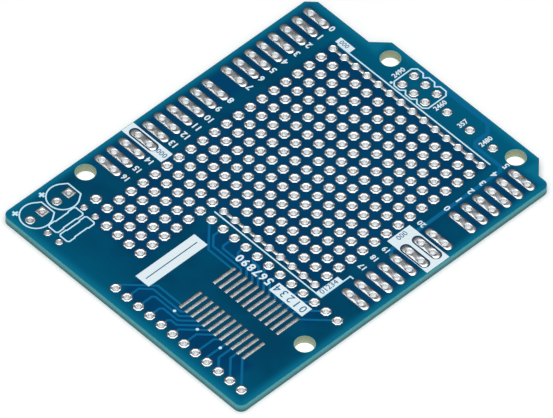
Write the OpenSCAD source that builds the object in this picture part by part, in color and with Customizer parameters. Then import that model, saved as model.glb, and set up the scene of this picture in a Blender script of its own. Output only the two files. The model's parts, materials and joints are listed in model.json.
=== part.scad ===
// Bare prototyping circuit board: laminate, solder mask, plated contacts, tracks and printed legend.
// Millimetres, +Z up, drawn from the board's lower left corner and centred at the end.

/* [Board] */
// Length of the board along the header rows
board_l = 68.58; // [62:0.01:76]
// Width of the board across the header rows
board_w = 53.34; // [48:0.01:60]
// How far the right-hand end stands out past its two shoulders
step_d = 2.54; // [1.5:0.01:3]
// Height of the lower shoulder above the lower edge
low_shoulder_y = 2.54; // [2:0.01:3]
// Height of the upper shoulder above the lower edge
high_shoulder_y = 40.386; // [39.5:0.001:42]
// Leg of the 45 degree cut at the upper right corner
corner_cut = 1.524; // [0.5:0.001:2]
// Radius of the rounded corners
corner_r = 1.27; // [0.5:0.01:2]

/* [Layers] */
// Thickness of the glass-fibre laminate
laminate_t = 1.5; // [0.7:0.01:3.1]
// Thickness of the solder mask over bare laminate
mask_t = 0.05; // [0.042:0.001:0.08]
// Thickness of the copper foil that the tracks are etched from
foil_t = 0.035; // [0.017:0.001:0.04]
// Height of the tinned lands above the laminate
land_t = 0.065; // [0.055:0.001:0.09]
// Thickness of the printed ink
ink_t = 0.02; // [0.01:0.001:0.04]
// Wall of the plated barrel in each drilled hole
plating_t = 0.03; // [0.02:0.005:0.06]
// Bare laminate left between the mask and the board's edge
mask_edge_in = 0.1; // [0.05:0.01:0.25]
// Bare laminate left between the mask and a tinned land
mask_gap = 0.08; // [0.04:0.01:0.12]
// How far the mask creeps down beside a covered track
mask_side = 0.05; // [0.03:0.01:0.08]
// Space left between ink and the edge of a mask opening
ink_gap = 0.14; // [0.05:0.01:0.2]

/* [Mounting holes] */
// Diameter of the unplated mounting holes
mount_hole_d = 3.2; // [2.5:0.05:3.4]
// Distance of the upper hole from the left edge
upper_mount_x = 15.24; // [14.5:0.01:15.8]
// Distance of the lower hole from the left edge
lower_mount_x = 15.93; // [13.5:0.01:17]
// Distance of the upper, lower and right-hand holes from the edge beside them
mount_in = 2.54; // [2.3:0.01:2.8]
// Height of the lower right-hand hole above the lower edge
right_mount_low_y = 7.62; // [7.2:0.01:8]
// Spacing of the two right-hand holes
right_mount_spacing = 27.94; // [27.5:0.01:28.2]

/* [Hole field] */
// Pitch of the hole field and of all header pins
pitch = 2.54; // [2.52:0.01:2.55]
// Left-hand column of the hole field, from the left edge
field_x = 10.16; // [10.1:0.01:10.3]
// Lowest row of the hole field, from the lower edge
field_y = 10.16; // [10.1:0.01:10.3]
// Distance of the ground bus, just right of the field, from the right-hand end
ground_bus_in = 7.62; // [7.55:0.01:7.7]
// Rows beside the breakout columns, where the field starts further right
short_rows = 9; // [9:1:9]
// Columns that the short rows lack
skipped_cols = 7; // [7:1:7]
// Hole left inside a plated contact of the field
field_hole_d = 1.0; // [0.7:0.05:1.2]
// Width across flats of a field land
field_land = 1.83; // [1.6:0.01:2]
// Width across flats of a land on the two bus rows
bus_land = 1.44; // [1.3:0.01:1.8]
// Width of the tinned link between two bus lands
bus_link_w = 0.56; // [0.3:0.01:0.9]
// Width across flats of a breakout land
breakout_land = 1.7; // [1.5:0.01:1.9]
// Contacts in each breakout column
breakout_count = 12; // [12:1:12]

/* [Headers] */
// Hole for a header pin
header_hole_d = 1.0; // [0.8:0.05:1.1]
// Width of a long header land
header_land_w = 1.47; // [1.4:0.01:1.7]
// How far a long land reaches past its last hole
header_land_end = 1.46; // [1.2:0.01:1.6]
// Distance of the header holes nearest an edge from that edge
header_in = 2.54; // [2.5:0.01:2.7]
// Spacing between digital pins 7 and 8, wider than the pitch
header_gap = 4.064; // [3.9:0.001:4.2]
// Pins in the right-hand digital header
digital_low_pins = 8; // [8:1:8]
// Least distance between a digital pin and the centre of the upper mounting hole
header_mount_gap = 2.5; // [2.5:0.01:3.4]
// Pins in the analogue header
analog_pins = 6; // [6:1:6]
// Width across flats of a programming or signal land
signal_land = 1.6; // [1.4:0.01:1.75]
// Centre of the programming header, from the right-hand end
program_in = 3.61; // [3.5:0.01:3.7]
// Height of the programming header's centre above the lower edge
program_y = 27.94; // [27.5:0.01:28.2]
// Column of the three signal contacts, from the right-hand end
signal_in = 3.81; // [3.6:0.01:4]
// Lowest signal contact above the lower edge
signal_y = 11.43; // [11.2:0.01:11.7]
// Spacing of the signal contacts
signal_spacing = 5.08; // [4.8:0.01:5.2]

/* [Surface-mount lands] */
// Spacing of the surface-mount lands
smd_pitch = 1.27; // [1.25:0.01:1.3]
// Length of one surface-mount land
smd_l = 4.55; // [4.2:0.01:4.6]
// Width of one surface-mount land
smd_w = 0.6; // [0.4:0.01:0.7]
// Left end of the outer column of lands, from the left edge
outer_smd_x = 7.05; // [6.9:0.01:7.2]
// Right end of the inner column of lands, from the left edge
inner_smd_x = 18.75; // [18.6:0.01:18.9]
// Lowest land above the lower edge
smd_y = 6.985; // [6.9:0.001:7.1]

/* [Lamps and resistors] */
// Spacing of a lamp's two holes
lamp_pin = 2.54; // [2.5:0.01:2.6]
// Hole for a lamp or resistor lead
lead_hole_d = 0.8; // [0.6:0.05:0.95]
// Width of a lamp's round and square lands
lamp_land = 1.68; // [1.5:0.01:1.8]
// Width of a resistor's lands
resistor_land = 1.2; // [1.1:0.01:1.5]
// Centre of the left-hand lamp, from the left edge
lamp_x = 3.62; // [3.4:0.01:3.8]
// Distance between the two lamps
lamp_spacing = 5.6; // [5.5:0.01:5.7]
// Distance of the lamps from the upper edge
lamp_in = 3.84; // [3.7:0.01:4]
// Spacing of a resistor's two holes
resistor_pin = 7.62; // [7.5:0.01:7.7]

/* [Tracks] */
// Width of the tracks between breakout contacts and surface-mount lands
track_w = 0.3; // [0.25:0.01:0.45]
// Width of the supply track
supply_w = 0.6; // [0.5:0.01:0.8]
// Corner cut where a breakout track turns up or down its lane
lane_cut = 0.4; // [0.3:0.01:0.6]
// Height of the supply track's lower run above the lower edge
supply_y = 7.26; // [7.1:0.01:7.4]
// Distance of the supply track's last run from the right-hand end
supply_in = 0.88; // [0.75:0.01:1]

/* [Legend] */
// Width of the printed lines
line_w = 0.24; // [0.15:0.01:0.35]
// Radius of a lamp outline
lamp_r = 2.62; // [2.5:0.01:2.7]
// Distance of a lamp outline's flat from its centre
lamp_flat = 2.47; // [2.3:0.01:2.5]
// Half length of that flat
lamp_flat_half = 1.45; // [1.3:0.01:1.5]
// Length of a resistor outline
resistor_l = 5.7; // [5.4:0.01:6]
// Width of a resistor outline at its ends
resistor_w = 2.06; // [1.9:0.01:2.2]
// How far a resistor outline draws in between its ends
resistor_waist = 0.14; // [0.05:0.01:0.25]

/* [Hidden] */
$fn = 40;

// Heights above the surface that the board lies on
lam_low = mask_t;
lam_top = mask_t + laminate_t;
mask_top = lam_top + mask_t;
contact_top = lam_top + land_t;
// Extra length of a cutting tool past the face it cuts
cut = 0.5;

// Columns and rows of the hole field, counted from its lower left corner. The field fills the board
// up to the ground bus and to one row below the digital headers, with a little slack for rounding.
function col(i) = field_x + pitch*i;
function row(j) = field_y + pitch*j;
digital_y = board_w - header_in - pitch;
count_slack = 0.1;
field_cols = floor((board_l - ground_bus_in - field_x)/pitch + count_slack);
field_rows = floor((digital_y - field_y)/pitch + count_slack) - 1;
ground_bus_x = col(field_cols);
reference_bus_x = col(skipped_cols - 1);
inner_breakout_x = col(skipped_cols - 2);
outer_breakout_x = col(-3);
breakout_low = short_rows - breakout_count;

// Centres of every group of holes
field_pts = concat(
    [for (j = [0:short_rows - 1], i = [skipped_cols:field_cols - 1]) [col(i), row(j)]],
    [for (j = [short_rows:1:field_rows - 2], i = [0:field_cols - 1]) [col(i), row(j)]],
    [for (i = [1:field_cols - 1]) [col(i), row(field_rows - 1)]],
    [[col(1), row(field_rows)]]);
ground_bus_pts = [for (j = [0:field_rows - 1]) [ground_bus_x, row(j)]];
reference_bus_pts = [for (j = [0:short_rows - 1]) [reference_bus_x, row(j)]];
outer_breakout_pts = [for (j = [breakout_low:short_rows - 1]) [outer_breakout_x, row(j)]];
inner_breakout_pts = [for (j = [breakout_low:short_rows - 1]) [inner_breakout_x, row(j)]];

// Header slots, each given by its lower hole. The left-hand digital header runs on up to the
// mounting hole, and the power header ends two pitches before the analogue one.
header_x = col(field_cols + 1);
digital_low_x = [for (k = [0:digital_low_pins - 1]) header_x - pitch*k];
digital_high_start = header_x - pitch*(digital_low_pins - 1) - header_gap;
digital_high_pins = 1
    + floor((digital_high_start - upper_mount_x - header_mount_gap)/pitch + count_slack);
digital_high_x = [for (k = [0:digital_high_pins - 1]) digital_high_start - pitch*k];
power_pins = field_cols + 1 - skipped_cols - analog_pins;
digital_slots = [for (x = concat(digital_low_x, digital_high_x)) [x, digital_y]];
power_slots = [for (k = [0:power_pins - 1]) [col(skipped_cols + k), header_in]];
analog_slots = [for (k = [0:analog_pins - 1]) [header_x - pitch*(analog_pins - 1 - k), header_in]];
// Ground pins: one past the middle of the digital header, and two beside each other for power
ground_slot_x = digital_high_x[floor(3*digital_high_pins/5)];
power_ground = floor(5*(power_pins - 1)/7);
power_ground_x = [power_slots[power_ground][0], power_slots[power_ground + 1][0]];

// Contacts at the right-hand end
program_x = board_l - program_in;
signal_x = board_l - signal_in;
program_pts = [for (j = [-1:1], i = [-0.5, 0.5]) [program_x + pitch*i, program_y + pitch*j]];
signal_pts = [for (k = [0:2]) [signal_x, signal_y + signal_spacing*k]];

// Lamps and resistors in the upper left corner
lamps = [for (k = [0, 1]) [lamp_x + lamp_spacing*k, board_w - lamp_in]];
lamp_round_pts = [for (p = lamps) p - [lamp_pin/2, 0]];
lamp_square_pts = [for (p = lamps) p + [lamp_pin/2, 0]];
resistors = [for (j = [field_rows, field_rows - 1]) [col(-3) + resistor_pin/2, row(j)]];
resistor_pts = [for (p = resistors, s = [-0.5, 0.5]) p + [resistor_pin*s, 0]];

// Surface-mount lands: one for each breakout contact, in the same order
smd_ys = [for (k = [0:breakout_count - 1]) smd_y + smd_pitch*k];

// Unplated mounting holes
mounts = [[upper_mount_x, board_w - mount_in], [lower_mount_x, mount_in],
    [board_l - mount_in, right_mount_low_y], [board_l - mount_in, right_mount_low_y + right_mount_spacing]];

// Route of one breakout track from its contact p to its land's end q; s is the way it runs, +1 or -1.
// The lower contacts leave at 45 degrees, the middle ones arrive at 45 degrees, and the upper five
// come down a lane of their own, given by its distance before the land's end and its corner cut.
lane_first = 2.8;
lane_spacing = 0.75;
near_lane = 0.5;
near_cut = 1.55;
far_cut = 4.1;
lanes = [[lane_first, lane_cut], [lane_first - lane_spacing, lane_cut],
    [lane_first - 2*lane_spacing, lane_cut], [near_lane, near_cut], [-near_lane, far_cut]];
first_lane = breakout_count - len(lanes);
function route(k, p, q, s) =
    k >= first_lane ? lane_route(p, q, s, lanes[k - first_lane][0], lanes[k - first_lane][1])
    : q[1] > p[1] ? [p, [p[0] + s*(q[1] - p[1]), q[1]], q]
    : [p, [q[0] - s*(p[1] - q[1]), p[1]], q];
function lane_route(p, q, s, back, turn) =
    let (x = q[0] - s*back)
    [p, [x - s*turn, p[1]], [x, p[1] - turn], [x, q[1] + max(back, 0)], [q[0] + s*max(-back, 0), q[1]]];

outer_routes = [for (k = [0:breakout_count - 1])
    route(k, outer_breakout_pts[k], [outer_smd_x, smd_ys[k]], 1)];
inner_routes = [for (k = [0:breakout_count - 1])
    route(k, inner_breakout_pts[k], [inner_smd_x, smd_ys[k]], -1)];

// Supply track: out of the middle power pin, along the headers, up past the signal contacts and
// out to the right-hand end, where it climbs to the programming header
supply_riser_in = 5.6;
supply_riser_x = board_l - supply_riser_in;
supply_jog_y = 14.15;
supply_turn = 0.7;
supply_end_x = board_l - supply_in;
supply_route = let (p = power_slots[floor(power_pins/2)], e = program_pts[5])
    [[p[0], p[1] + pitch], [p[0], supply_y - supply_turn], [p[0] + supply_turn, supply_y],
    [supply_riser_x - supply_turn, supply_y], [supply_riser_x, supply_y + supply_turn],
    [supply_riser_x, supply_jog_y - supply_turn], [supply_riser_x + supply_turn, supply_jog_y],
    [supply_end_x - 2*supply_turn, supply_jog_y], [supply_end_x, supply_jog_y + 2*supply_turn],
    [supply_end_x, e[1] - supply_turn/2], [supply_end_x - supply_turn/2, e[1]], e];

// Blue of the mask, silver of the tinning and white of the ink
mask_colour = [0.0, 0.27, 0.42];
track_colour = [0.05, 0.42, 0.62];
tin_colour = [0.82, 0.82, 0.80];
ink_colour = [0.92, 0.95, 0.97];
laminate_colour = [0.55, 0.62, 0.50];

module on_board() {
    translate([-board_l/2, -board_w/2, 0]) children();
}

module at(points) {
    for (p = points) translate(p) children();
}

// Flat shape with a straight stretch and two round ends, along +Y from its own origin
module slot_shape(w, l) {
    translate([-w/2, 0]) square([w, l]);
    for (y = [0, l]) translate([0, y]) circle(d = w);
}

module octagon(across) {
    rotate(180/8) circle(d = across/cos(180/8), $fn = 8);
}

// Line of constant width through a list of points, with round joins and round or flat ends
module line(points, w, round_ends = true) {
    last = len(points) - 1;
    skip = round_ends ? 0 : 1;
    for (k = [0:last - 1]) {
        d = points[k + 1] - points[k];
        if (norm(d) > 0.001)
            translate(points[k]) rotate(atan2(d[1], d[0])) translate([0, -w/2]) square([norm(d), w]);
    }
    for (k = [skip:last - skip]) translate(points[k]) circle(d = w);
}

// Corner of the board that a fillet takes away, with the corner itself at the origin
module corner_waste(r) {
    difference() {
        translate([-cut, -cut]) square(r + cut);
        translate([r, r]) circle(r);
    }
}

// Board outline, drawn in by the amount given
module outline(d = 0) {
    x = board_l - step_d;
    // A 45 degree edge moves in by d when its two ends move by d*tan(22.5)
    t = d*tan(22.5);
    r = corner_r - d;
    difference() {
        polygon([[d, d], [x - d, d], [x - d, low_shoulder_y + t],
            [board_l - d, low_shoulder_y + step_d + t], [board_l - d, high_shoulder_y - step_d - t],
            [x - d, high_shoulder_y - t], [x - d, board_w - corner_cut - t],
            [x - corner_cut - t, board_w - d], [d, board_w - d]]);
        translate([d, d]) corner_waste(r);
        translate([x - d, d]) rotate(90) corner_waste(r);
        translate([d, board_w - d]) rotate(-90) corner_waste(r);
    }
}

// Land shapes on the board's face, each grown by the amount given
module field_lands(g = 0) {
    at(field_pts) octagon(field_land + 2*g);
}

module bus_lands(points, g = 0) {
    at(points) octagon(bus_land + 2*g);
    line([points[0], points[len(points) - 1]], bus_link_w + 2*g);
}

module header_lands(slots, g = 0) {
    reach = header_land_end - header_land_w/2;
    at(slots) translate([0, -reach]) slot_shape(header_land_w + 2*g, pitch + 2*reach);
}

module right_end_lands(g = 0) {
    at(concat(program_pts, signal_pts)) octagon(signal_land + 2*g);
}

module breakout_lands(points, g = 0) {
    at(points) octagon(breakout_land + 2*g);
}

// Surface-mount lands from x onwards, one at each height of smd_ys
module smd_lands(x, g = 0) {
    for (y = smd_ys) translate([x - g, y - smd_w/2 - g]) square([smd_l + 2*g, smd_w + 2*g]);
}

module lamp_lands(g = 0) {
    at(lamp_round_pts) circle(d = lamp_land + 2*g);
    at(lamp_square_pts) square(lamp_land + 2*g, center = true);
}

module resistor_lands(g = 0) {
    at(resistor_pts) octagon(resistor_land + 2*g);
}

// Every land with a drilled hole, which shows on both faces
module through_lands(g = 0) {
    field_lands(g);
    bus_lands(ground_bus_pts, g);
    bus_lands(reference_bus_pts, g);
    header_lands(digital_slots, g);
    header_lands(power_slots, g);
    header_lands(analog_slots, g);
    right_end_lands(g);
    breakout_lands(outer_breakout_pts, g);
    breakout_lands(inner_breakout_pts, g);
    lamp_lands(g);
    resistor_lands(g);
}

// Every land on the upper face
module top_lands(g = 0) {
    through_lands(g);
    smd_lands(outer_smd_x, g);
    smd_lands(inner_smd_x - smd_l, g);
}

module mount_holes(g = 0) {
    at(mounts) circle(d = mount_hole_d + 2*g);
}

// Holes drilled for the plated barrels
module drills() {
    header_pts = [for (p = concat(digital_slots, power_slots, analog_slots), y = [0, pitch]) p + [0, y]];
    at(concat(field_pts, ground_bus_pts, reference_bus_pts, outer_breakout_pts, inner_breakout_pts))
        circle(d = field_hole_d + 2*plating_t);
    at(concat(header_pts, program_pts, signal_pts)) circle(d = header_hole_d + 2*plating_t);
    at(concat(lamp_round_pts, lamp_square_pts, resistor_pts)) circle(d = lead_hole_d + 2*plating_t);
}

// Tinned contact made like a rivet: the land given as child on each face, joined by a barrel at
// each point and open from face to face
module through_contact(hole_d, points = [[0, 0]]) {
    difference() {
        union() {
            linear_extrude(mask_t) children();
            translate([0, 0, lam_top]) linear_extrude(land_t) children();
            for (p = points) translate([p[0], p[1], lam_low])
                cylinder(d = hole_d + 2*plating_t, h = laminate_t);
        }
        for (p = points) translate([p[0], p[1], -cut]) cylinder(d = hole_d, h = contact_top + 2*cut);
    }
}

// A row of like header contacts, each with one long land over two holes
module header_contacts(slots) {
    at(slots) through_contact(header_hole_d, [[0, 0], [0, pitch]]) header_lands([[0, 0]]);
}

module bus(points) {
    low = points[0];
    own = [for (p = points) p - low];
    translate(low) through_contact(field_hole_d, own) bus_lands(own);
}

module breakout_lines(w) {
    for (r = concat(outer_routes, inner_routes)) line(r, w);
}

module all_tracks(g = 0) {
    breakout_lines(track_w + 2*g);
    line(supply_route, supply_w + 2*g);
}

module laminate() {
    color(laminate_colour) on_board() translate([0, 0, lam_low]) linear_extrude(laminate_t)
        difference() {
            outline();
            drills();
            mount_holes();
        }
}

// Both masks stop short of the edge and the lands, and run up to the wall of each mounting hole
module bottom_solder_mask() {
    color(mask_colour) on_board() linear_extrude(mask_t) difference() {
        outline(mask_edge_in);
        through_lands(mask_gap);
        mount_holes();
    }
}

// The upper mask lies on the laminate and rises over the tracks that it covers
module top_solder_mask() {
    color(mask_colour) on_board() translate([0, 0, lam_top]) difference() {
        union() {
            linear_extrude(mask_t) mask_sheet();
            linear_extrude(foil_t + mask_t) intersection() {
                all_tracks(mask_side);
                mask_sheet();
            }
        }
        translate([0, 0, -cut]) linear_extrude(cut + foil_t) all_tracks();
    }
}

module mask_sheet() {
    difference() {
        outline(mask_edge_in);
        top_lands(mask_gap);
        mount_holes();
    }
}

module field_contacts() {
    color(tin_colour) on_board() at(field_pts) through_contact(field_hole_d) octagon(field_land);
}

module ground_bus() {
    color(tin_colour) on_board() bus(ground_bus_pts);
}

module reference_bus() {
    color(tin_colour) on_board() bus(reference_bus_pts);
}

module digital_header_contacts() {
    color(tin_colour) on_board() header_contacts(digital_slots);
}

module power_header_contacts() {
    color(tin_colour) on_board() header_contacts(power_slots);
}

module analog_header_contacts() {
    color(tin_colour) on_board() header_contacts(analog_slots);
}

module programming_contacts() {
    color(tin_colour) on_board() at(program_pts) through_contact(header_hole_d) octagon(signal_land);
}

module signal_contacts() {
    color(tin_colour) on_board() at(signal_pts) through_contact(header_hole_d) octagon(signal_land);
}

module outer_breakout_contacts() {
    color(tin_colour) on_board()
        at(outer_breakout_pts) through_contact(field_hole_d) octagon(breakout_land);
}

module inner_breakout_contacts() {
    color(tin_colour) on_board()
        at(inner_breakout_pts) through_contact(field_hole_d) octagon(breakout_land);
}

module outer_surface_lands() {
    color(tin_colour) on_board() translate([0, 0, lam_top]) linear_extrude(land_t) smd_lands(outer_smd_x);
}

module inner_surface_lands() {
    color(tin_colour) on_board() translate([0, 0, lam_top]) linear_extrude(land_t)
        smd_lands(inner_smd_x - smd_l);
}

module lamp_contacts() {
    color(tin_colour) on_board() {
        at(lamp_round_pts) through_contact(lead_hole_d) circle(d = lamp_land);
        at(lamp_square_pts) through_contact(lead_hole_d) square(lamp_land, center = true);
    }
}

module resistor_contacts() {
    color(tin_colour) on_board() at(resistor_pts) through_contact(lead_hole_d) octagon(resistor_land);
}

// Tracks butt against the lands that they join
module breakout_tracks() {
    color(track_colour) on_board() translate([0, 0, lam_top]) linear_extrude(foil_t) difference() {
        breakout_lines(track_w);
        breakout_lands(outer_breakout_pts);
        breakout_lands(inner_breakout_pts);
        smd_lands(outer_smd_x);
        smd_lands(inner_smd_x - smd_l);
    }
}

module supply_track() {
    color(track_colour) on_board() translate([0, 0, lam_top]) linear_extrude(foil_t) difference() {
        line(supply_route, supply_w);
        header_lands(power_slots);
        header_lands(analog_slots);
        right_end_lands();
    }
}

// Ink printed on the mask: it keeps clear of the openings in the mask and rises over the tracks
module printed() {
    color(ink_colour) on_board() translate([0, 0, mask_top]) difference() {
        union() {
            linear_extrude(ink_t) ink_area() children();
            linear_extrude(foil_t + ink_t) intersection() {
                all_tracks(mask_side + ink_t);
                ink_area() children();
            }
        }
        translate([0, 0, -cut]) linear_extrude(cut + foil_t) all_tracks(mask_side);
    }
}

module ink_area() {
    difference() {
        intersection() {
            children();
            outline(mask_edge_in);
        }
        top_lands(mask_gap + ink_gap);
        mount_holes(ink_gap);
    }
}

// Lamp outline: an arc whose two tangents run out to the corners of a flat
module lamp_outline() {
    corner = [lamp_flat, lamp_flat_half];
    a = atan2(corner[1], corner[0]) + acos(lamp_r/norm(corner));
    tangent = lamp_r*[cos(a), sin(a)];
    difference() {
        circle(lamp_r + line_w/2);
        circle(lamp_r - line_w/2);
        polygon([[0, 0], 2*tangent, [2*lamp_r, 0], [2*tangent[0], -2*tangent[1]]]);
    }
    line([tangent, corner, [corner[0], -corner[1]], [tangent[0], -tangent[1]]], line_w, false);
}

module plus_mark(size) {
    square([size, 1.5*line_w], center = true);
    square([1.5*line_w, size], center = true);
}

// Resistor outline: a long body, a little wider at both ends
resistor_end_l = 1.4;
bevel = 0.28;

module resistor_outline() {
    x = resistor_l/2;
    neck = x - resistor_end_l;
    y = resistor_w/2;
    w = y - resistor_waist;
    line([[resistor_waist - neck, w], [neck - resistor_waist, w], [neck, y], [x - bevel, y],
        [x, y - bevel], [x, bevel - y], [x - bevel, -y], [neck, -y], [neck - resistor_waist, -w],
        [resistor_waist - neck, -w], [-neck, -y], [bevel - x, -y], [-x, bevel - y], [-x, y - bevel],
        [bevel - x, y], [-neck, y], [resistor_waist - neck, w]], line_w);
}

// Programming header outline: three cells of two pins, notched between the cells, and set a little
// to the right of the pins
program_outline_shift = 0.11;

module program_outline() {
    x = pitch;
    c = pitch/4;
    side = [for (j = [-1:1]) each [[x - c, pitch*(j - 0.5)], [x, pitch*(j - 0.5) + c],
        [x, pitch*(j + 0.5) - c]]];
    right = concat(side, [[x - c, pitch*1.5]]);
    left = [for (k = [len(right) - 1:-1:0]) [-right[k][0], right[k][1]]];
    translate([program_x + program_outline_shift, program_y]) line(concat(right, left, [right[0]]), line_w);
}

// Bus lines: a line beside each bus, from just past its last land into its label field. The one
// beside the reference bus turns along the field and drops to the second power pin.
bus_line_in = 1.12;
bus_line_past = 0.8;
bus_line_drop = 0.6;
reference_field_y = 7.5;
reference_field_l = 4.85;
reference_field_w = 1.4;
reference_field = [[reference_bus_x - bus_line_in - line_w/2, reference_field_y],
    [reference_field_l, reference_field_w]];
ground_field_l = 3.2;
ground_field_w = 1.5;
ground_field_below = 2.4;
ground_field = [[ground_bus_x + bus_line_in - line_w/2, row(field_rows - 1) - ground_field_below],
    [ground_field_w, ground_field_l]];

module bus_lines() {
    rx = reference_bus_x - bus_line_in;
    ry = reference_field_y + line_w/2;
    drop_x = power_slots[1][0];
    line([[rx, row(short_rows - 1) + bus_line_past], [rx, ry], [drop_x, ry],
        [drop_x, ry - bus_line_drop]], line_w);
    gx = ground_bus_x + bus_line_in;
    line([[gx, row(field_rows - 1)], [gx, row(0) - bus_line_past]], line_w);
}

// Marks beside the lamps, pin one of the programming header and every fourth surface-mount land
lamp_mark_x = 2.1;
lamp_mark_y = 2.5;
lamp_mark_size = 1.1;
pin_one_dot_x = 2.3;
pin_one_dot_y = 3.95;
pin_one_dot_d = 0.5;
row_dot_x = 5.95;
row_dot_d = 0.55;
row_dots = [for (k = [3:4:breakout_count - 1]) [row_dot_x, smd_ys[k]]];

module legend_outlines() {
    printed() {
        at(lamps) lamp_outline();
        at(lamps) translate([-lamp_mark_x, lamp_mark_y]) plus_mark(lamp_mark_size);
        at(resistors) resistor_outline();
        program_outline();
        bus_lines();
        translate([program_x - pin_one_dot_x, program_y + pin_one_dot_y]) circle(d = pin_one_dot_d);
        at(row_dots) circle(d = row_dot_d);
    }
}

// Fields of solid ink: round the ground pins, behind the bus labels, and two for writing on
ground_pin_field_w = 2.45;
ground_pin_field_l = 4;
power_field_h = 8.9;
power_field_left = 1.05;
power_field_right = 1.2;
note_x = 6.4;
note_y = 27.2;
note_l = 12.45;
note_w = 2.95;
note_rule_w = 0.18;
note_rule_in = 0.8;
scale_x = 19.45;
scale_y = 6.85;
scale_w = 2.15;
scale_l = 7.3;

module rect(place, size) {
    translate(place) square(size);
}

module legend_fields() {
    printed() {
        rect([ground_slot_x - ground_pin_field_w/2, digital_y - ground_pin_field_l],
            [ground_pin_field_w, board_w - digital_y + ground_pin_field_l]);
        rect([power_ground_x[0] - power_field_left, 0],
            [power_ground_x[1] - power_ground_x[0] + power_field_left + power_field_right,
            power_field_h]);
        rect(reference_field[0] + [line_w, line_w], reference_field[1] - [line_w, line_w]);
        rect(ground_field[0] + [line_w, 0], ground_field[1] - [line_w, 0]);
        rect([scale_x, scale_y], [scale_w, scale_l]);
        difference() {
            rect([note_x, note_y], [note_l, note_w]);
            rect([note_x + note_rule_in, note_y + (note_w - note_rule_w)/2],
                [note_l - 2*note_rule_in, note_rule_w]);
        }
    }
}

laminate();
bottom_solder_mask();
top_solder_mask();
field_contacts();
ground_bus();
reference_bus();
digital_header_contacts();
power_header_contacts();
analog_header_contacts();
programming_contacts();
signal_contacts();
outer_breakout_contacts();
inner_breakout_contacts();
outer_surface_lands();
inner_surface_lands();
lamp_contacts();
resistor_contacts();
breakout_tracks();
supply_track();
legend_outlines();
legend_fields();
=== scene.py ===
"""Bare blue prototyping circuit board, lying on a plain white table under soft studio light."""
import json
import math

import bmesh
import bpy
import numpy as np
from mathutils import Matrix, Vector


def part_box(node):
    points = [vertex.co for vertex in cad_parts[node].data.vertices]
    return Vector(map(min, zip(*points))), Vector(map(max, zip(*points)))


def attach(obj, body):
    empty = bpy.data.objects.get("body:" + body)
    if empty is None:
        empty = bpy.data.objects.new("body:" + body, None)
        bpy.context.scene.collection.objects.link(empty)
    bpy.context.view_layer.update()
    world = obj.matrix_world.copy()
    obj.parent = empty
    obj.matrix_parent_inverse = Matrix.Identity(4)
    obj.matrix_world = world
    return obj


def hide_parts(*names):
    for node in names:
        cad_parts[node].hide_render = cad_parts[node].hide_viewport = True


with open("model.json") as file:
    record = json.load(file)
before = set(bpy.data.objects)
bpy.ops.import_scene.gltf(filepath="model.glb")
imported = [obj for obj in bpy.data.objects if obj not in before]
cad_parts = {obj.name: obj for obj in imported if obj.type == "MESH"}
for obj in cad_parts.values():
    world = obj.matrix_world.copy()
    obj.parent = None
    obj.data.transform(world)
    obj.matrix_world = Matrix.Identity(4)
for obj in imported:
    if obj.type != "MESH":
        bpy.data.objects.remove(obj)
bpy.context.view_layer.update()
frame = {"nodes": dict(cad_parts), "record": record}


# Laminate
# Woven glass cloth pressed in epoxy, the board's core. It is drilled, then routed to its outline, and
# the router leaves a dull blue-green wall in which the cloth layers show as fine lines.

mm = 0.001
board_low, board_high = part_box("laminate")
laminate_base = board_low.z
laminate_top = board_high.z


def hex_colour(code):
    """sRGB hex to the linear colour that a shader takes, by the standard sRGB curve."""
    srgb = np.array([int(code[k:k + 2], 16) for k in (1, 3, 5)]) / 255
    linear = np.where(srgb <= 0.04045, srgb / 12.92, ((srgb + 0.055) / 1.055) ** 2.4)
    return (*linear.tolist(), 1.0)


def add(material, kind, settings=None, inputs=None, output=0):
    """Adds one shader node and returns one of its outputs. inputs maps a socket to a value, or to the
    output that is linked to it."""
    node = material.node_tree.nodes.new("ShaderNode" + kind)
    for name, value in (settings or {}).items():
        setattr(node, name, value)
    for socket, value in (inputs or {}).items():
        if isinstance(value, bpy.types.NodeSocket):
            material.node_tree.links.new(value, node.inputs[socket])
        else:
            node.inputs[socket].default_value = value
    return node.outputs[output] if node.outputs else None


# Settings that many nodes share: a Mix of two colours, with the numbers of its two colour sockets and
# of its colour output, and a MapRange that eases in and out
of_colours = {"data_type": "RGBA"}
colour_a = 6
colour_b = 7
mixed = 2
eased = {"interpolation_type": "SMOOTHSTEP"}


def new_material(name):
    """An empty node material."""
    material = bpy.data.materials.new(name)
    material.use_nodes = True
    material.node_tree.nodes.clear()
    return material


def dress(node, material):
    """Gives a CAD node its finish, in every material slot that it has."""
    for entry in frame["nodes"][node].material_slots:
        entry.material = material


def depth_in_box(material, position, low, high):
    """How far a point lies inside an upright box: the least of half the size less the distance from the
    centre, in x and in y, so that it is negative outside."""
    centre = (np.array(low) + high) / 2
    half = (np.array(high) - low) / 2
    away = add(material, "VectorMath", {"operation": "SUBTRACT"}, {0: position, 1: (*centre, 0)})
    away = add(material, "VectorMath", {"operation": "ABSOLUTE"}, {0: away})
    inside = add(material, "VectorMath", {"operation": "SUBTRACT"}, {0: (*half, 0), 1: away})
    depth_x = add(material, "SeparateXYZ", inputs={"Vector": inside}, output="X")
    depth_y = add(material, "SeparateXYZ", inputs={"Vector": inside}, output="Y")
    return add(material, "Math", {"operation": "MINIMUM"}, {0: depth_x, 1: depth_y})


def largest(material, values):
    """The largest of several outputs, taken two by two."""
    result = values[0]
    for value in values[1:]:
        result = add(material, "Math", {"operation": "MAXIMUM"}, {0: result, 1: value})
    return result


# The right-hand end stands out past a low and a high shoulder, with a slant from each. For the depth, it
# is a plain box that starts part of the way along each slant
end_step = 2.54 * mm
low_shoulder = 2.54 * mm
high_shoulder = 40.386 * mm
slant_inset = 1.6 * mm


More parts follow.
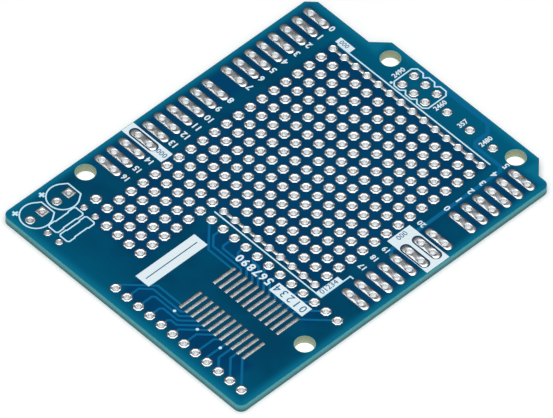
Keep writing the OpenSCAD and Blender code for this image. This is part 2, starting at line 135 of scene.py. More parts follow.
def depth_in_outline(material, position):
    """Depth from the board's outline: in its main rectangle, or in the end that stands out past it."""
    main_depth = depth_in_box(material, position, (board_low.x, board_low.y),
                              (board_high.x - end_step, board_high.y))
    end_depth = depth_in_box(material, position, (board_low.x, board_low.y + low_shoulder + slant_inset),
                             (board_high.x, board_low.y + high_shoulder - slant_inset))
    return largest(material, [main_depth, end_depth])


mounting_holes = [mount for mount in frame["record"]["mounts"] if mount["kind"] == "bore"]
mount_radius = mounting_holes[0]["dims"]["r_mm"] * mm


def near_mounts(material, position, radius):
    """1 where a point lies within a radius of a mounting hole's axis, 0 elsewhere."""
    flat = add(material, "VectorMath", {"operation": "MULTIPLY"}, {0: position, 1: (1, 1, 0)})
    near = []
    for mount in mounting_holes:
        axis = (*mount["pos_m"][:2], 0)
        away = add(material, "VectorMath", {"operation": "DISTANCE"}, {0: flat, 1: axis}, "Value")
        near.append(add(material, "Math", {"operation": "LESS_THAN"}, {0: away, 1: radius}))
    return largest(material, near)


# Glass-fibre epoxy, routed: it looks dull and blue-green, and lighter towards the top, where light comes
# through it. Its cloth layers make faint level lines, and the drilled walls are a bare grey-green
cloth_layers = 8
thread_spacing = 0.5 * mm
layer_pitch = (laminate_top - laminate_base) / cloth_layers
epoxy = new_material("routed_glass_fibre_epoxy")
place = add(epoxy, "TexCoord", output="Object")
height = add(epoxy, "SeparateXYZ", inputs={"Vector": place}, output="Z")
turns = add(epoxy, "Math", {"operation": "MULTIPLY"}, {0: height, 1: 2 * math.pi / layer_pitch})
layers = add(epoxy, "Math", {"operation": "SINE"}, {0: turns})
weave = add(epoxy, "TexNoise", inputs={
    "Vector": place, "Scale": 1 / thread_spacing, "Detail": 3.0, "Roughness": 0.6})
grain = add(epoxy, "Math", {"operation": "MULTIPLY_ADD"}, {0: layers, 1: 0.18, 2: weave})
up_wall = add(epoxy, "MapRange", eased, {
    "Value": height, "From Min": laminate_base + 0.35 * mm, "From Max": laminate_base + 1.0 * mm})
low_tone = add(epoxy, "Mix", of_colours, {
    "Factor": grain, colour_a: hex_colour("#1e5a5e"), colour_b: hex_colour("#2e767a")}, mixed)
high_tone = add(epoxy, "Mix", of_colours, {
    "Factor": grain, colour_a: hex_colour("#1c8c96"), colour_b: hex_colour("#2ea8ae")}, mixed)
wall = add(epoxy, "Mix", of_colours, {"Factor": up_wall, colour_a: low_tone, colour_b: high_tone}, mixed)
drilled = near_mounts(epoxy, place, mount_radius + 0.05 * mm)
wall = add(epoxy, "Mix", of_colours, {
    "Factor": drilled, colour_a: wall, colour_b: hex_colour("#909a7c")}, mixed)

# The faces show only where the mask leaves them bare: dark in the shade round each land, and the blue of
# the lacquer's edge along the outline
face_skin = 0.004 * mm
bare_margin = 0.3 * mm
top_face = add(epoxy, "Math", {"operation": "GREATER_THAN"}, {0: height, 1: laminate_top - face_skin})
low_face = add(epoxy, "Math", {"operation": "LESS_THAN"}, {0: height, 1: laminate_base + face_skin})
face = add(epoxy, "Math", {"operation": "MAXIMUM"}, {0: top_face, 1: low_face})
edge_depth = depth_in_outline(epoxy, place)
inside = add(epoxy, "Math", {"operation": "GREATER_THAN"}, {0: edge_depth, 1: bare_margin})
bare = add(epoxy, "Mix", of_colours, {
    "Factor": inside, colour_a: hex_colour("#0c7288"), colour_b: hex_colour("#0e3440")}, mixed)
tone = add(epoxy, "Mix", of_colours, {"Factor": face, colour_a: wall, colour_b: bare}, mixed)
relief = add(epoxy, "Bump", inputs={"Strength": 0.35, "Distance": 0.02 * mm, "Height": grain})
surface = add(epoxy, "BsdfPrincipled", inputs={
    "Base Color": tone, "Normal": relief, "Roughness": 0.55, "IOR": 1.55})
add(epoxy, "OutputMaterial", inputs={"Surface": surface})
dress("laminate", epoxy)


# Tracks
# Copper foil etched into lines that join the breakout contacts to the surface-mount lands, and one
# wide supply line. The mask covers them, but for their last bit in each opening, which takes tin.

# Tinned foil: a cool grey metal, dull and finely speckled from the etching
etch_pit = 0.06 * mm
foil = new_material("tinned_copper_foil")
place = add(foil, "TexCoord", output="Object")
etching = add(foil, "TexNoise", inputs={"Vector": place, "Scale": 1 / etch_pit, "Detail": 2.0})
tone = add(foil, "Mix", of_colours, {
    "Factor": etching, colour_a: hex_colour("#8496a2"), colour_b: hex_colour("#a4b4be")}, mixed)
surface = add(foil, "BsdfPrincipled", inputs={"Base Color": tone, "Metallic": 1.0, "Roughness": 0.45})
add(foil, "OutputMaterial", inputs={"Surface": surface})
dress("breakout_tracks", foil)
dress("supply_track", foil)


# Solder mask
# Blue photo-cured epoxy lacquer, curtain coated on both faces. It levels to a gloss with a faint
# orange-peel wave, goes lighter where it thins over the tracks, and navy among the contacts and tracks.

track_rise = 0.035 * mm
mask_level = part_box("top_solder_mask")[1].z - track_rise
lacquer = new_material("blue_solder_mask_lacquer")
place = add(lacquer, "TexCoord", output="Object")

# The lacquer is navy in the field, from the reference bus to the ground bus, round each header, and over
# the fans of tracks each side of the surface-mount lands
pitch = 2.54 * mm
field_low, field_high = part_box("field_contacts")
reference_bus_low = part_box("reference_bus")[0]
ground_bus_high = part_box("ground_bus")[1]
outer_breakout_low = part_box("outer_breakout_contacts")[0]
inner_breakout_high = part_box("inner_breakout_contacts")[1]
below_top_row = field_high.y - pitch
above_breakout = inner_breakout_high.y + 0.6 * mm
zones = [((reference_bus_low.x, field_low.y), (ground_bus_high.x, below_top_row)),
         ((field_low.x, above_breakout), (ground_bus_high.x, below_top_row))]
for header in ("digital_header_contacts", "power_header_contacts", "analog_header_contacts"):
    low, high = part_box(header)
    zones.append(((low.x, low.y), (high.x, high.y)))
half_contact = 1 * mm
fan_low_y = board_low.y + 5 * mm
fan_high_y = inner_breakout_high.y - 2 * mm
outer_fan = (outer_breakout_low.x + half_contact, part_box("outer_surface_lands")[0].x)
inner_fan = (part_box("inner_surface_lands")[1].x, inner_breakout_high.x - half_contact)
for low_x, high_x in (outer_fan, inner_fan):
    zones.append(((low_x, fan_low_y), (high_x, fan_high_y)))
zone_depth = largest(lacquer, [depth_in_box(lacquer, place, low, high) for low, high in zones])
navy_zone = add(lacquer, "MapRange", eased, {
    "Value": zone_depth, "From Min": -0.9 * mm, "From Max": 0.7 * mm})

# Both blues are cloudy where the coat's thickness wanders, and the plain one goes lighter towards the
# board's two ends, from a middle that lies left of the board's own
cloud_width = 6 * mm
off_middle = 3 * mm
cloud = add(lacquer, "TexNoise", inputs={
    "Vector": place, "Scale": 1 / cloud_width, "Detail": 2.0, "Roughness": 0.5})
cloud = add(lacquer, "MapRange", eased, {"Value": cloud, "From Min": 0.35, "From Max": 0.65})
along = add(lacquer, "SeparateXYZ", inputs={"Vector": place}, output="X")
outward = add(lacquer, "Math", {"operation": "ADD"}, {0: along, 1: off_middle})
outward = add(lacquer, "Math", {"operation": "ABSOLUTE"}, {0: outward})
outward = add(lacquer, "MapRange", eased, {
    "Value": outward, "From Min": 20 * mm, "From Max": 35 * mm})
plain_blue = add(lacquer, "Mix", of_colours, {
    "Factor": cloud, colour_a: hex_colour("#01405e"), colour_b: hex_colour("#014868")}, mixed)
plain_blue = add(lacquer, "Mix", of_colours, {
    "Factor": outward, colour_a: plain_blue, colour_b: hex_colour("#015878")}, mixed)
navy_blue = add(lacquer, "Mix", of_colours, {
    "Factor": cloud, colour_a: hex_colour("#013a61"), colour_b: hex_colour("#014068")}, mixed)
blue = add(lacquer, "Mix", of_colours, {
    "Factor": navy_zone, colour_a: plain_blue, colour_b: navy_blue}, mixed)

# Light that enters the routed wall brightens the lacquer along the outline
edge_depth = depth_in_outline(lacquer, place)
edge_near = add(lacquer, "MapRange", eased, {
    "Value": edge_depth, "From Min": 0.1 * mm, "From Max": 3.0 * mm, "To Min": 1.0, "To Max": 0.0})
edge_near = add(lacquer, "Math", {"operation": "POWER"}, {0: edge_near, 1: 3.6})
blue = add(lacquer, "Mix", of_colours, {
    "Factor": edge_near, colour_a: blue, colour_b: hex_colour("#096c8b")}, mixed)

# Over a track, where the film has risen by nearly the track's thickness, the copper glints through
height = add(lacquer, "SeparateXYZ", inputs={"Vector": place}, output="Z")
over_track = add(lacquer, "MapRange", eased, {
    "Value": height, "From Min": mask_level + 0.72 * track_rise, "From Max": mask_level + 0.95 * track_rise})
blue = add(lacquer, "Mix", of_colours, {
    "Factor": over_track, colour_a: blue, colour_b: hex_colour("#0b6491")}, mixed)

# A thin ring of lacquer at each mounting hole is chipped pale by the drill
chipped = near_mounts(lacquer, place, mount_radius + 0.1 * mm)
tone = add(lacquer, "Mix", of_colours, {
    "Factor": chipped, colour_a: blue, colour_b: hex_colour("#7fa898")}, mixed)

# The orange peel is a shallow wave, so the gloss has soft edges
peel_wave = 0.8 * mm
peel = add(lacquer, "TexNoise", inputs={
    "Vector": place, "Scale": 1 / peel_wave, "Detail": 2.0, "Roughness": 0.5})
relief = add(lacquer, "Bump", inputs={"Strength": 0.25, "Distance": 0.01 * mm, "Height": peel})
surface = add(lacquer, "BsdfPrincipled", inputs={
    "Base Color": tone, "Normal": relief, "Roughness": 0.3, "IOR": 1.5,
    "Specular IOR Level": 0.08, "Specular Tint": hex_colour("#50b0ff")})
add(lacquer, "OutputMaterial", inputs={"Surface": surface})
dress("top_solder_mask", lacquer)
dress("bottom_solder_mask", lacquer)


# Field contacts
# Plated-through contacts: copper lands on both faces joined by a plated barrel, dipped in molten tin
# and levelled with hot air. The tin is left as a bright bead round each land and runs into the hole.

# A contact stands from the lowest face, under its lower land, to the crown of the tin on its upper one
underside = 0.0
foot = laminate_top
rise = 0.085 * mm
crown = foot + rise
hole_radius = 0.5 * mm
barrel_wall = 0.03 * mm
ripple_width = 0.45 * mm


def levelled_tin(name, dark, bright, smooth, rough):
    """Hot-air levelled tin: grey-white metal whose tone and roughness change over fine frozen ripples."""
    material = new_material(name)
    place = add(material, "TexCoord", output="Object")
    ripple = add(material, "TexNoise", inputs={
        "Vector": place, "Scale": 1 / ripple_width, "Detail": 3.0, "Roughness": 0.55})
    ripple = add(material, "MapRange", eased, {"Value": ripple, "From Min": 0.3, "From Max": 0.7})
    tone = add(material, "Mix", of_colours, {
        "Factor": ripple, colour_a: hex_colour(dark), colour_b: hex_colour(bright)}, mixed)
    roughness = add(material, "MapRange", inputs={"Value": ripple, "To Min": smooth, "To Max": rough})
    relief = add(material, "Bump", inputs={"Strength": 0.2, "Distance": 0.002 * mm, "Height": ripple})
    surface = add(material, "BsdfPrincipled", inputs={
        "Base Color": tone, "Normal": relief, "Roughness": roughness, "Metallic": 1.0})
    add(material, "OutputMaterial", inputs={"Surface": surface})
    return material


# Tin that lies thick on the copper sets bright
tin = levelled_tin("hot_air_levelled_tin", "#d8dadb", "#e6eaec", 0.26, 0.34)


def octagon_reach(angle, across):
    """Distance from an octagon's centre to its edge: half its width over flats, divided by the cosine
    of the angle from the nearest flat's middle."""
    from_flat = angle - np.pi / 4 * np.round(angle / (np.pi / 4))
    return across / 2 / np.cos(from_flat)


# A contact's section as rows of (share of the way from the hole's wall to the land's edge, extra radius,
# height): up the land's edge, over its bead, down the hole, out under the lower land and up the barrel
contact_section = np.array([
    [1.00, 0, foot],
    [0.90, 0, foot + 0.6 * rise],
    [0.50, 0, crown],
    [0.00, 0.02 * mm, foot + 0.3 * rise],
    [0.00, 0, underside],
    [1.00, 0, underside],
    [1.00, 0, laminate_base],
    [0.00, barrel_wall, laminate_base],
    [0.00, barrel_wall, foot]])
octagon_angles = (np.arange(8) + 0.5) * np.pi / 4


def contacts(centres, angles, reach, hole, section=contact_section):
    """Contacts as grids of points. Point (i, j) of a contact stands at angle i round its hole and at
    station j of its section, at hole + share * (reach - hole) + extra from its centre."""
    share, extra, height = np.moveaxis(section, -1, 0)
    radius = hole + share * (reach[:, None] - hole) + extra
    shape = np.stack([radius * np.cos(angles)[:, None], radius * np.sin(angles)[:, None],
                      np.broadcast_to(height, radius.shape)], axis=-1)
    offsets = np.column_stack([centres, np.zeros(len(centres))])
    return shape + offsets[:, None, None]


def grid_faces(copies, around, along):
    """Quads of a stack of closed point grids: each joins a point with its neighbours round the hole and
    along the section. The result keeps one axis each for copy, angle and station."""
    index = np.arange(copies * around * along).reshape(copies, around, along)
    right = np.roll(index, -1, axis=1)
    return np.stack([index, right, np.roll(right, -1, axis=2), np.roll(index, -1, axis=2)], axis=-1)


def fit_out(name, mesh, material, nodes=(), crease=30):
    """Makes an object of a mesh, with smooth faces that are sharp where they meet at more than crease
    degrees, and says what it rides on and what it is made of. It hides the CAD nodes that it stands for."""
    mesh.polygons.foreach_set("use_smooth", np.ones(len(mesh.polygons), bool))
    mesh.set_sharp_from_angle(angle=math.radians(crease))
    mesh.materials.append(material)
    mesh.update()
    piece = bpy.data.objects.new(name, mesh)
    bpy.context.scene.collection.objects.link(piece)
    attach(piece, "root")
    if nodes:
        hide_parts(*nodes)
    return piece


def make_piece(name, points, faces, material, nodes=(), crease=30):
    """An object of points and of faces that number them."""
    mesh = bpy.data.meshes.new(name)
    mesh.from_pydata(points.reshape(-1, 3).tolist(), [], faces)
    return fit_out(name, mesh, material, nodes, crease)


def make_octagons(name, node, centres, across, hole=hole_radius):
    """A group of eight-sided contacts that stands for one CAD node. Its faces are all flat, so that each
    side of a bead has its own glint."""
    points = contacts(centres, octagon_angles, octagon_reach(octagon_angles, across), hole)
    faces = grid_faces(*points.shape[:3]).reshape(-1, 4).tolist()
    return make_piece(name, points, faces, tin, [node], crease=5)


def centres_of(node, across):
    """Columns and rows of a group of contacts, from its box: a pitch apart between the outer ones."""
    low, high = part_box(node)
    counts = [round((high[a] - low[a] - across) / pitch) + 1 for a in (0, 1)]
    return [low[a] + across / 2 + pitch * np.arange(counts[a]) for a in (0, 1)]


field_land = 1.83 * mm
columns, rows = centres_of("field_contacts", field_land)

# The lower rows start right of the breakout block. The top row has no contact in the first column, and
# one more contact stands above it in the second
short_rows = 9
skipped_columns = 7
top_row = len(rows) - 2
column, row = np.meshgrid(np.arange(len(columns)), np.arange(len(rows)), indexing="ij")
kept = np.where(row < short_rows, column >= skipped_columns, row < top_row)
kept |= (row == top_row) & (column > 0) | (row == top_row + 1) & (column == 1)
field_centres = np.column_stack([columns[column[kept]], rows[row[kept]]])
make_octagons("field_contact_rivets", "field_contacts", field_centres, field_land)


# Bus rows
# A row of plated contacts each side of the field, joined by one straight track that the mask leaves
# bare. The tin stands on it as a rounded bar, so each bus reads as beads on a bright line.

bus_land = 1.44 * mm
link_width = 0.56 * mm
link_height = 0.85 * rise
link_end_gap = 0.1 * mm

# A bar's section as rows of (place across, height), both as shares, and its stations as rows of (place
# along, width, height)
bar_section = np.array([[-1, 0], [-0.93, 0.6], [-0.5, 0.94], [0, 1], [0.5, 0.94], [0.93, 0.6], [1, 0]])
bar_stations = np.array([[-1, 0.9, 0.3], [-0.98, 1, 0.75], [-0.9, 1, 0.95], [0, 1, 1],
                         [0.9, 1, 0.95], [0.98, 1, 0.75], [1, 0.9, 0.3]])


def bars(centres, length, width, tall, lengthwise_y=False):
    """Rounded bars as grids of points: the section carried along the bar, and drawn in at both ends.
    Point (i, j) lies along_i * length / 2 along the bar, across_j * wide_i * width / 2 to its side, and
    lift_j * high_i * tall above the laminate."""
    across, lift = bar_section.T
    along, wide, high = bar_stations.T
    u = np.broadcast_to(along[:, None] * length / 2, (len(along), len(across)))
    v = across * wide[:, None] * width / 2
    z = foot + lift * high[:, None] * tall
    shape = np.stack([-v, u, z] if lengthwise_y else [u, v, z], axis=-1)
    offsets = np.column_stack([centres, np.zeros(len(centres))])
    return shape + offsets[:, None, None]


def bar_faces(copies, first=0):
    """Quads round and along each bar, and one face with seven corners at each of its ends. first is the
    number of the bars' first point."""
    stations = len(bar_stations)
    around = len(bar_section)
    index = first + np.arange(copies * stations * around).reshape(copies, stations, around)
    right = np.roll(index, -1, axis=2)
    sides = np.stack([index[:, :-1], index[:, 1:], right[:, 1:], right[:, :-1]], axis=-1)
    ends = index[:, 0].tolist() + index[:, -1, ::-1].tolist()
    return sides.reshape(-1, 4).tolist() + ends


def make_bus(name, node):
    """A row of contacts with a bar from each to the next, from inside one bead to inside the other."""
    low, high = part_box(node)
    rows = centres_of(node, bus_land)[1]
    centres = np.column_stack([np.full(len(rows), (low.x + high.x) / 2), rows])
    rings = contacts(centres, octagon_angles, octagon_reach(octagon_angles, bus_land), hole_radius)
    between = (centres[1:] + centres[:-1]) / 2
    link_length = pitch - 2 * (hole_radius + link_end_gap)
    links = bars(between, link_length, link_width, link_height, lengthwise_y=True)
    faces = grid_faces(*rings.shape[:3]).reshape(-1, 4).tolist()
    faces += bar_faces(len(links), first=rings.size // 3)
    points = np.concatenate([rings.reshape(-1, 3), links.reshape(-1, 3)])
    return make_piece(name, points, faces, tin, [node])


make_bus("ground_bus_row", "ground_bus")
make_bus("reference_bus_row", "reference_bus")


# Header contacts
# Long lands for the pin headers, each over two plated holes so that a header can stand in either line
# or bridge both. The tin mounds up round each hole and sags to a saddle between the two.

slot_width = 1.47 * mm
slot_end = 1.46 * mm
header_gap = 4.064 * mm
slot_angles = np.linspace(0, 2 * np.pi, 24, endpoint=False)
merge_distance = 0.001 * mm


def half_slot_reach(angle):
    """Distance from a slot's lower hole to the edge of the slot's lower half: to its straight side at
    x = half its width, to the line midway between the holes, or to its round end, where the ray meets a
    circle about the point (0, half width - end length)."""
    drop = slot_end - slot_width / 2
    side = slot_width / 2 / np.maximum(np.abs(np.cos(angle)), 1e-9)
    midway = pitch / 2 / np.maximum(np.sin(angle), 1e-9)
    toward = -drop * np.sin(angle)
    round_end = toward + np.sqrt(toward ** 2 - drop ** 2 + (slot_width / 2) ** 2 + 0j).real
    return np.where(side * np.sin(angle) < -drop, round_end, np.minimum(side, midway))


# Rays that end midway between the holes run out over the saddle. The outer two of them end at a corner,
# where the saddle comes down to the slot's side
half_reach = half_slot_reach(slot_angles)
midway_ray = half_reach * np.sin(slot_angles) > pitch / 2 - merge_distance
corner_ray = midway_ray & (half_reach * np.abs(np.cos(slot_angles)) > slot_width / 2 - 0.05 * mm)
saddle_section = contact_section.copy()
saddle_section[1] = [1.00, 0, foot + 0.7 * rise]
saddle_section[2] = [0.45, 0, foot + 0.92 * rise]
corner_section = contact_section.copy()
corner_section[1] = [1.00, 0, foot + 0.35 * rise]
slot_section = np.where(midway_ray[:, None, None], saddle_section, contact_section)
slot_section = np.where(corner_ray[:, None, None], corner_section, slot_section)


def make_slots(name, node, columns):
    """A row of header contacts, each of two half slots that are merged along the line midway between the
    holes. The upper half is the lower one mirrored in that line, with its points round the hole taken
    in turn the other way, so that its faces point outwards too. On the line, neither half has the
    walls of its two land edges, at stations 0 and 5 of the section."""
    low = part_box(node)[0]
    centres = np.column_stack([columns, np.full(len(columns), low.y + slot_end)])
    lower = contacts(centres, slot_angles, half_reach, hole_radius, slot_section)
    mirrored = lower * [1, -1, 1] + [0, 2 * (low.y + slot_end) + pitch, 0]
    points = np.concatenate([lower, mirrored[:, ::-1]])
    faces = grid_faces(*points.shape[:3])
    walled = np.ones(faces.shape[:3], bool)
    edge_wall = ~(midway_ray & np.roll(midway_ray, -1))
    for edge_station in (0, 5):
        walled[:len(columns), :, edge_station] = edge_wall
        walled[len(columns):, :, edge_station] = np.roll(edge_wall[::-1], -1)
    piece = make_piece(name, points, faces[walled].tolist(), tin, [node], crease=55)
    shape = bmesh.new()
    shape.from_mesh(piece.data)
    bmesh.ops.remove_doubles(shape, verts=shape.verts, dist=merge_distance)
    shape.to_mesh(piece.data)
    shape.free()
    return piece


# The digital header is one block of eight slots at the right and, past a wider gap, a longer one
right_pins = 8
digital_low, digital_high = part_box("digital_header_contacts")
right_block = digital_high.x - slot_width / 2 - pitch * np.arange(right_pins)
left_start = right_block[-1] - header_gap
left_pins = round((left_start - slot_width / 2 - digital_low.x) / pitch) + 1
left_block = left_start - pitch * np.arange(left_pins)
make_slots("digital_header_slots", "digital_header_contacts", np.concatenate([right_block, left_block]))
for header in ("power_header", "analog_header"):
    make_slots(header + "_slots", header + "_contacts", centres_of(header + "_contacts", slot_width)[0])


# Programming and signal contacts
# Six plated contacts in a block for the programming header, and three single ones down the right-hand
# end. They are made and tinned as the field's are, with a slightly smaller land.

signal_land = 1.6 * mm
signal_count = 3
columns, rows = centres_of("programming_contacts", signal_land)
block = np.stack(np.meshgrid(columns, rows), axis=-1).reshape(-1, 2)
make_octagons("programming_contact_rivets", "programming_contacts", block, signal_land)
low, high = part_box("signal_contacts")
rows = np.linspace(low.y + signal_land / 2, high.y - signal_land / 2, signal_count)
line = np.column_stack([np.full(len(rows), (low.x + high.x) / 2), rows])
make_octagons("signal_contact_rivets", "signal_contacts", line, signal_land)


# Breakout contacts
# A column of plated contacts each side of the surface-mount lands, one for each land's track. They are
# tinned in the same bath as the rest.

breakout_land = 1.7 * mm
for side in ("outer", "inner"):
    node = side + "_breakout_contacts"
    columns, rows = centres_of(node, breakout_land)
    centres = np.column_stack([np.full(len(rows), columns[0]), rows])
    make_octagons(side + "_breakout_rivets", node, centres, breakout_land)


# Surface-mount lands
# Bare copper bars under a film of tin, without holes, for the legs of a surface-mounted chip. Surface
# tension draws the tin up into a low round back along each bar.

smd_length = 4.55 * mm
smd_width = 0.6 * mm
smd_height = 0.6 * rise
smd_pitch = 1.27 * mm

# A thin film of tin is duller than a bead of it. Its greyer tone is painted shade, standing in for the
# dim reflection of the flat lands
thin_tin_in_painted_shade = levelled_tin("thin_levelled_tin_in_painted_shade", "#a8acae", "#c4c8ca", 0.36, 0.46)

for side in ("outer", "inner"):
    node = side + "_surface_lands"
    low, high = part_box(node)
    rows = np.arange(low.y + smd_width / 2, high.y, smd_pitch)
    centres = np.column_stack([np.full(len(rows), (low.x + high.x) / 2), rows])
    points = bars(centres, smd_length, smd_width, smd_height)
    faces = bar_faces(len(rows))
    make_piece(side + "_surface_land_bars", points, faces, thin_tin_in_painted_shade, [node], crease=80)


# Lamp contacts
# Two plated contacts for each indicator lamp. The round land marks one lead and the square land the
# other, and both have a smaller hole than the field's.

lead_hole = 0.4 * mm
lamp_land = 1.68 * mm
lamp_spacing = 5.6 * mm
lamp_angles = np.linspace(0, 2 * np.pi, 16, endpoint=False)
low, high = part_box("lamp_contacts")
lamp_row = (low.y + high.y) / 2
round_centres = [[low.x + lamp_land / 2 + shift, lamp_row] for shift in (0, lamp_spacing)]
square_centres = [[x + pitch, y] for x, y in round_centres]
round_reach = np.full(len(lamp_angles), lamp_land / 2)
square_reach = lamp_land / 2 / np.maximum(np.abs(np.cos(lamp_angles)), np.abs(np.sin(lamp_angles)))
points = np.concatenate([contacts(round_centres, lamp_angles, round_reach, lead_hole),
                         contacts(square_centres, lamp_angles, square_reach, lead_hole)])
faces = grid_faces(*points.shape[:3]).reshape(-1, 4).tolist()
make_piece("lamp_contact_rivets", points, faces, tin, ["lamp_contacts"])


# Resistor contacts
# Four small plated contacts, two for each of the lamps' resistors, at the ends of the printed bodies.
# Their holes are as narrow as the lamps'.

resistor_land = 1.2 * mm
resistor_pin = 7.62 * mm
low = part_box("resistor_contacts")[0]
low_centre = np.array([low.x + resistor_land / 2, low.y + resistor_land / 2])
centres = low_centre + [[x, y] for x in (0, resistor_pin) for y in (0, pitch)]
make_octagons("resistor_contact_rivets", "resistor_contacts", centres, resistor_land, lead_hole)


# Printed legend
# White epoxy ink, screen printed over the mask: outlines, plus marks, solid fields and plain numbers.
# Where a number stands in a solid field the ink is left out, so that the mask shows as a dark figure.

ink_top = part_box("legend_fields")[1].z
figure_rise = 0.0015 * mm
figure_merge = 0.0005 * mm
ink_patch = 0.4 * mm


def screen_printed_ink(name, thin, thick):
    """Matt white ink with a cold cast, bluer in patches where the mask shows through a thin layer."""
    material = new_material(name)
    place = add(material, "TexCoord", output="Object")
    cover = add(material, "TexNoise", inputs={"Vector": place, "Scale": 1 / ink_patch, "Detail": 3.0})
    tone = add(material, "Mix", of_colours, {
        "Factor": cover, colour_a: hex_colour(thin), colour_b: hex_colour(thick)}, mixed)
    surface = add(material, "BsdfPrincipled", inputs={"Base Color": tone, "Roughness": 0.6})
    add(material, "OutputMaterial", inputs={"Surface": surface})
    return material


# The ink lies full in the fields and figures, and thinner in the fine lines
ink = screen_printed_ink("white_ink_in_fields", "#d0e8f1", "#edf5f8")
line_ink = screen_printed_ink("white_ink_in_lines", "#aee0f4", "#dcf6fe")
dress("legend_fields", ink)
dress("legend_outlines", line_ink)


def make_numbers(name, words, stroke, base, top, material):
    """Flat raised numbers as one piece. Each word is (text, x, y, height, turn): its outline, thickened
    by stroke, is scaled to its height in mm, turned by its angle in degrees, and centred on a place
    in mm from the board's lower left corner."""
    shape = bmesh.new()
    for text, x, y, height, turn in words:
        curve = bpy.data.curves.new("figure", "FONT")
        curve.body = text
        curve.resolution_u = 2
        curve.offset = stroke
        curve.extrude = 0.5
        figure = bpy.data.objects.new("figure", curve)
        mesh = bpy.data.meshes.new_from_object(figure)
        corners = np.empty(3 * len(mesh.vertices))
        mesh.vertices.foreach_get("co", corners)
        low = corners.reshape(-1, 3).min(axis=0)
        high = corners.reshape(-1, 3).max(axis=0)
        size = height * mm / (high[1] - low[1])
        position = (board_low.x + x * mm, board_low.y + y * mm, (base + top) / 2)
        mesh.transform(Matrix.Translation(position) @ Matrix.Rotation(math.radians(turn), 4, "Z")
                       @ Matrix.Diagonal((size, size, (top - base) / (high[2] - low[2]), 1))
                       @ Matrix.Translation(-(low + high) / 2))
        shape.from_mesh(mesh)
        bpy.data.objects.remove(figure)
        bpy.data.curves.remove(curve)
        bpy.data.meshes.remove(mesh)
    bmesh.ops.remove_doubles(shape, verts=shape.verts, dist=figure_merge)
    bmesh.ops.recalc_face_normals(shape, faces=shape.faces)
    mesh = bpy.data.meshes.new(name)
    shape.to_mesh(mesh)
    shape.free()
    return fit_out(name, mesh, material, crease=40)


def words_in_line(texts, x, y, step, height, turn=90):
    """Words for make_numbers, each a step (in x, in y) further on than the one before."""
    return [(text, x + step[0] * k, y + step[1] * k, height, turn) for k, text in enumerate(texts)]


# Pin numbers read along the slots, and count from the right on the upper headers and from the left on
# the lower ones
leftward = (-pitch / mm, 0)
rightward = (pitch / mm, 0)
white_words = words_in_line("01234567", 63.65, 46.2, leftward, 1.22)
white_words += words_in_line("89", 41.8, 46.2, leftward, 1.22)
white_words += words_in_line(["10", "11", "12", "13"], 36.72, 45.8, leftward, 1.22)
white_words += words_in_line(["14", "15", "16"], 24.0, 45.8, leftward, 1.1)
white_words += words_in_line("012345", 50.95, 7.38, rightward, 1.2)
white_words += [("17", 33.15, 7.8, 1.05, 90), ("18", 35.7, 7.8, 1.05, 90),
                ("19", 38.2, 7.8, 1.05, 90), ("20", 45.85, 7.8, 1.05, 90)]

# The right-hand end's numbers stand upright, and a scale runs up the board beside the surface-mount lands
white_words += [("2460", 64.9, 23.3, 0.95, 0), ("357", 64.9, 18.23, 0.95, 0),
                ("2480", 64.9, 13.15, 0.95, 0), ("2490", 64.9, 32.58, 0.95, 0)]
white_words += words_in_line("567890", 20.58, 15.35, (0, 1.3), 1.6)
make_numbers("white_pin_numbers", white_words, 0.026, mask_level, ink_top, ink)

# The figures that the ink leaves out are made in lacquer. They all lie at one height, on the ink over
# the tracks and 0.035 mm above the ink elsewhere
dark_words = [("000", 26.5, 45.55, 0.96, 90), ("000", 42.0, 8.17, 0.96, 0), ("000", 62.8, 42.54, 0.85, 90),
              ("01234", 26.58, 8.35, 1.0, 0)]
dark_words += words_in_line("01234", 20.55, 7.75, (0, 1.42), 1.46)
make_numbers("numbers_left_out_of_fields", dark_words, 0.0, ink_top, ink_top + figure_rise,
             lacquer)


# Camera
# A long lens from the lower left, at the photograph's place, so the board's edges stay almost parallel.
# The lens axis meets the picture a small part of a pixel beside its middle.

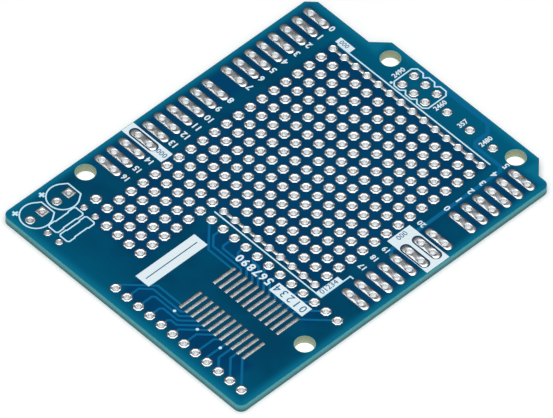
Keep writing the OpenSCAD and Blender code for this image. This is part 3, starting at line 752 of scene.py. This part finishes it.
picture_width = 553
axis_offset = 0.18
camera_data = bpy.data.cameras.new("camera")
camera_data.sensor_width = 36.0
camera_data.lens = 858.495
camera_data.shift_x = -axis_offset / picture_width
camera_data.clip_start = 0.2
camera_data.clip_end = 20.0
camera = bpy.data.objects.new("camera", camera_data)
camera.location = (-0.938777, -0.948142, 1.537692)
camera.rotation_euler = [math.radians(angle) for angle in (40.9096, -0.85139, -43.69666)]
bpy.context.scene.collection.objects.link(camera)
bpy.context.scene.camera = camera


# Table and light
# A plain white table top, and one long soft box overhead, in line with the view, so that the tin has
# bright beads with dark sides. An even pale studio fills the shadows a little.

table_side = 4.0
table_gap = 0.02 * mm
bpy.ops.mesh.primitive_plane_add(size=table_side, location=(0, 0, -table_gap))
table = bpy.context.object
table.name = "table_top"

# Matt white paper, which looks flat and even. Under the board it has a glow of its own, painted light as of
# a light table beneath, so that light comes up the plated holes
paper = new_material("matt_white_paper")
place = add(paper, "TexCoord", output="Object")
painted_glow = add(paper, "MapRange", eased, {
    "Value": depth_in_outline(paper, place), "From Min": 0.5 * mm, "From Max": 3 * mm,
    "To Min": 0.12, "To Max": 0.8})
surface = add(paper, "BsdfPrincipled", inputs={
    "Base Color": hex_colour("#f6f6f6"), "Roughness": 0.9,
    "Emission Color": (1, 1, 1, 1), "Emission Strength": painted_glow})
add(paper, "OutputMaterial", inputs={"Surface": surface})
table.data.materials.append(paper)

# The level direction in which the camera looks
away = np.array([-math.sin(camera.rotation_euler.z), math.cos(camera.rotation_euler.z), 0])


def soft_box(name, distance, elevation, size, radiance):
    """A rectangular area light that looks at the board from the plane of sight, its length in that
    plane. Elevation is counted up from the table on the far side, so over 90 degrees it stands on the
    camera's side. Its power is the radiance that it shows, times pi, times its area."""
    data = bpy.data.lights.new(name, "AREA")
    data.shape = "RECTANGLE"
    data.size, data.size_y = size
    data.energy = radiance * math.pi * size[0] * size[1]
    light = bpy.data.objects.new(name, data)
    angle = math.radians(elevation)
    light.location = distance * (math.cos(angle) * away + math.sin(angle) * np.array([0, 0, 1]))
    light.rotation_euler = Vector(light.location).to_track_quat("Z", "Y").to_euler()
    bpy.context.scene.collection.objects.link(light)


soft_box("overhead", distance=0.6, elevation=106, size=(0.7, 1.2), radiance=2.2)

world = bpy.data.worlds.new("studio")
world.use_nodes = True
background = world.node_tree.nodes["Background"]
background.inputs["Color"].default_value = (1, 1, 1, 1)
background.inputs["Strength"].default_value = 0.13
bpy.context.scene.world = world
bpy.context.scene.view_settings.view_transform = "Standard"
